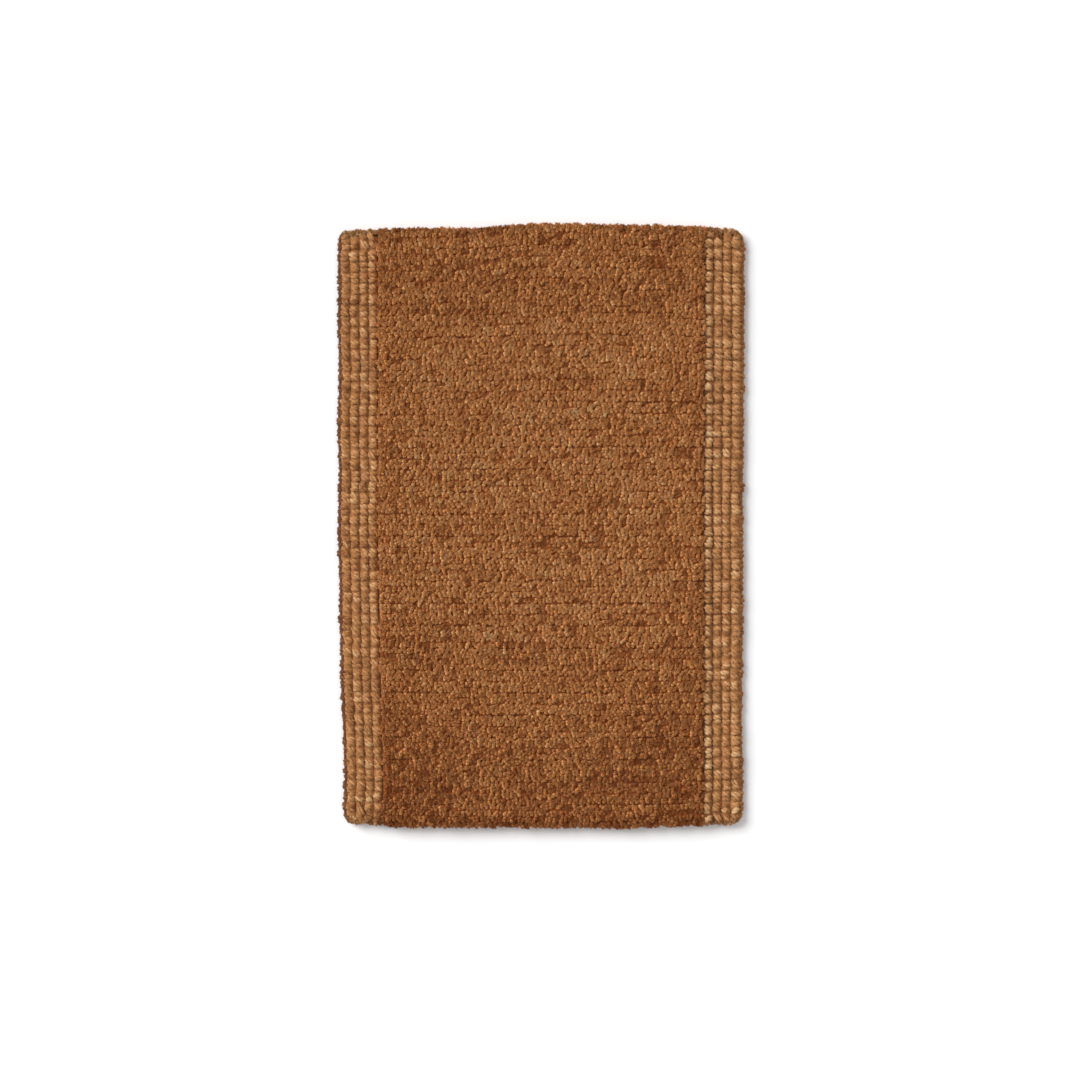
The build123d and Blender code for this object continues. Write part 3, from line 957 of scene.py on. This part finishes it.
def ground_wefts():
    """Crosswise wefts that bend round the chain yarns."""
    rng = np.random.RandomState(411)
    y = pick_y(np.arange(1, PICK_COUNT - 1))
    x = np.linspace(-WEFT_HALF_LENGTH, WEFT_HALF_LENGTH, CHAIN_COUNT * 2 + 1)
    wave = np.cos(x / WEFT_HALF_LENGTH * CHAIN_COUNT * math.pi)
    paths = np.empty((len(y), len(x), 3))
    paths[:, :, 0] = x[None]
    paths[:, :, 1] = y[:, None] + rng.normal(0, GROUND_JITTER, (len(y), 1))
    paths[:, :, 2] = GROUND_MIDDLE + 0.5 * MM * wave[None]
    tone = 0.36 + rng.normal(0, 0.08, len(y))
    batch = Batch()
    sweep(batch, paths, np.full(paths.shape[:2], WEFT_RADIUS), 7, ALONG_Y, tone, 0.5,
          flat=WEFT_FLAT, flutes=2, turns=WEFT_TWIST, flute_depth=GROUND_FLUTE,
          cells=strip_cells(len(y)))
    return batch.build("weft_yarns", ground_coir, ["ground_wefts"])


def ground_sheet():
    """The body of the woven ground, where its fibres press into one cloth."""
    hem_low, hem_high = box_of("end_hem_far")
    half_y = (hem_low[1] + hem_high[1]) / 2

    def middle(x, y):
        return GROUND_MIDDLE + field(x, y, 0.02, 0.016, 71) * 0.25 * MM

    batch = Batch()
    slab(batch, *CLOTH_GRID, WEFT_HALF_LENGTH, -half_y, half_y,
         lambda x, y: middle(x, y) + CLOTH_THICKNESS / 2,
         lambda x, y: middle(x, y) - CLOTH_THICKNESS / 2,
         lambda x, y: 0.4 + field(x, y, 0.012, 0.008, 73) * 0.1, 0.5)
    return batch.build("ground_cloth", scrim_coir)


# ---------------------------------------------------------------- end hems
# painted shade: the hem bundles and their lashing are given tip values below one, which draw them
# darker all over
HEM_STEPS = 120
HEM_RADIUS = 1.25 * MM
HEM_PLACES = np.array([[-1.55, -0.85], [1.55, -0.85], [-1.5, 0.9], [1.5, 0.9], [0, 0.05]]) * MM
HEM_TWIST, HEM_FLUTE = 70, 0.14
LASHING_COUNT = 24
LASHING_STEPS = 20
LASHING_RADIUS = 0.72 * MM
LASHING_ROUND = 0.55          # below 1, the turns follow the bundle's corners more closely
LASHING_TWIST = 6


def end_hem(node, end):
    """Chain ends turned crosswise: a bundle of yarns side by side along the end."""
    rng = np.random.RandomState(500 + end)
    low, high = box_of(node)
    x = np.linspace(low[0], high[0], HEM_STEPS)
    middle = (low + high) / 2
    paths = np.empty((len(HEM_PLACES), HEM_STEPS, 3))
    paths[:, :, 0] = x[None]
    for strand, (away_y, away_z) in enumerate(HEM_PLACES):
        sway = field(x, strand, 0.03, 1.0, 83) * 0.35 * MM
        paths[strand, :, 1] = middle[1] + away_y + sway
        paths[strand, :, 2] = middle[2] + away_z
    tone = 0.36 + rng.normal(0, 0.05, len(HEM_PLACES))
    batch = Batch()
    sweep(batch, paths, np.full(paths.shape[:2], HEM_RADIUS), 8, ALONG_Y, tone, 0.6,
          flutes=2, turns=HEM_TWIST, flute_depth=HEM_FLUTE, cells=strip_cells(len(HEM_PLACES)))
    return batch.build(node.replace("end_hem", "hem_bundle"), ground_coir, [node])


def hem_lashing(node, end):
    """Twine turned round the hem bundle at even steps across the mat."""
    rng = np.random.RandomState(600 + end)
    low, high = box_of(node)
    x = np.linspace(low[0] + 1.1 * MM, high[0] - 1.1 * MM, LASHING_COUNT)
    turn = np.linspace(0, TAU, LASHING_STEPS)
    half = (high - low) / 2 - LASHING_RADIUS
    ring_y = np.sign(np.cos(turn)) * np.abs(np.cos(turn)) ** LASHING_ROUND * half[1]
    ring_z = np.sign(np.sin(turn)) * np.abs(np.sin(turn)) ** LASHING_ROUND * half[2]
    paths = np.empty((LASHING_COUNT, LASHING_STEPS, 3))
    paths[:, :, 0] = x[:, None] + (turn / TAU - 0.5)[None] * 1.6 * MM
    paths[:, :, 1] = (low[1] + high[1]) / 2 + ring_y[None]
    paths[:, :, 2] = (low[2] + high[2]) / 2 + ring_z[None]
    tone = 0.5 + rng.normal(0, 0.06, LASHING_COUNT)
    batch = Batch()
    sweep(batch, paths, np.full(paths.shape[:2], LASHING_RADIUS), 7, ALONG_X, tone, 0.8,
          flutes=2, turns=LASHING_TWIST, flute_depth=GROUND_FLUTE)
    return batch.build(node.replace("hem_lashing", "lashing_twine"), twine_coir,
                       [node])


# ---------------------------------------------------------------- make the mat
cloth = ground_sheet()
chains = [chain_yarns("chain_yarns_a", "chain_under", 0),
          chain_yarns("chain_yarns_b", "chain_over", 1)]
wefts = ground_wefts()
hems = [end_hem("end_hem_near", -1), end_hem("end_hem_far", 1)]
lashings = [hem_lashing("hem_lashing_near", -1), hem_lashing("hem_lashing_far", 1)]
selvedge("selvedge_cord_left", -1)
selvedge("selvedge_cord_right", 1)
for side_name, side in (("left", -1), ("right", 1)):
    for column in range(1, 5):
        loop_column(f"loop_column_{side_name}_{column}", side)
    border_ends(side_name, side)
for number, node in enumerate(BAND_NODES):
    pile_band(number, node)


# ---------------------------------------------------------------- floor, light and camera
FLOOR_SIZE, FLOOR_COLOUR = 12.0, (0.94, 0.94, 0.94, 1.0)
KEY_FROM, KEY_STRENGTH, KEY_SPREAD = (-1.15, 0.68, 1.0), 3.1, 38
WORLD_STRENGTH = 0.58
LENS, SENSOR = 85.0, 36.0
FRAME_WIDTH = 1.583           # width of the floor that the picture takes in
VIEW_X, VIEW_Y = -1.4 * MM, -20.8 * MM


def make_floor():
    """A plain pale floor that the mat lies on."""
    mesh = bpy.data.meshes.new("floor")
    corners = [(x * FLOOR_SIZE, y * FLOOR_SIZE, 0) for x, y in ((-1, -1), (1, -1), (1, 1), (-1, 1))]
    mesh.from_pydata(corners, [], [(0, 1, 2, 3)])
    paint = bpy.data.materials.new("floor_paint")
    paint.use_nodes = True
    shader = paint.node_tree.nodes["Principled BSDF"]
    shader.inputs["Base Color"].default_value = FLOOR_COLOUR
    shader.inputs["Roughness"].default_value = 0.9
    shader.inputs["Specular IOR Level"].default_value = 0.1
    mesh.materials.append(paint)
    floor = bpy.data.objects.new("floor", mesh)
    floor.location.z = -0.2 * MM
    bpy.context.scene.collection.objects.link(floor)


def far_light(name, towards, strength, spread):
    """A broad, distant studio light that reaches the whole floor evenly."""
    data = bpy.data.lights.new(name, "SUN")
    data.energy = strength
    data.angle = math.radians(spread)
    light = bpy.data.objects.new(name, data)
    light.rotation_euler = (-Vector(towards)).to_track_quat("-Z", "Y").to_euler()
    bpy.context.scene.collection.objects.link(light)


make_floor()
world = bpy.data.worlds.new("studio")
world.use_nodes = True
world.node_tree.nodes["Background"].inputs["Color"].default_value = WHITE
world.node_tree.nodes["Background"].inputs["Strength"].default_value = WORLD_STRENGTH
bpy.context.scene.world = world
bpy.context.scene.view_settings.view_transform = "Standard"
far_light("key", KEY_FROM, KEY_STRENGTH, KEY_SPREAD)

# a camera with no turn looks straight down
camera_data = bpy.data.cameras.new("camera")
camera_data.lens = LENS
camera_data.sensor_width = SENSOR
camera = bpy.data.objects.new("camera", camera_data)
camera.location = (VIEW_X, VIEW_Y, FRAME_WIDTH * LENS / SENSOR + MAT_TOP)
bpy.context.scene.collection.objects.link(camera)
bpy.context.scene.camera = camera
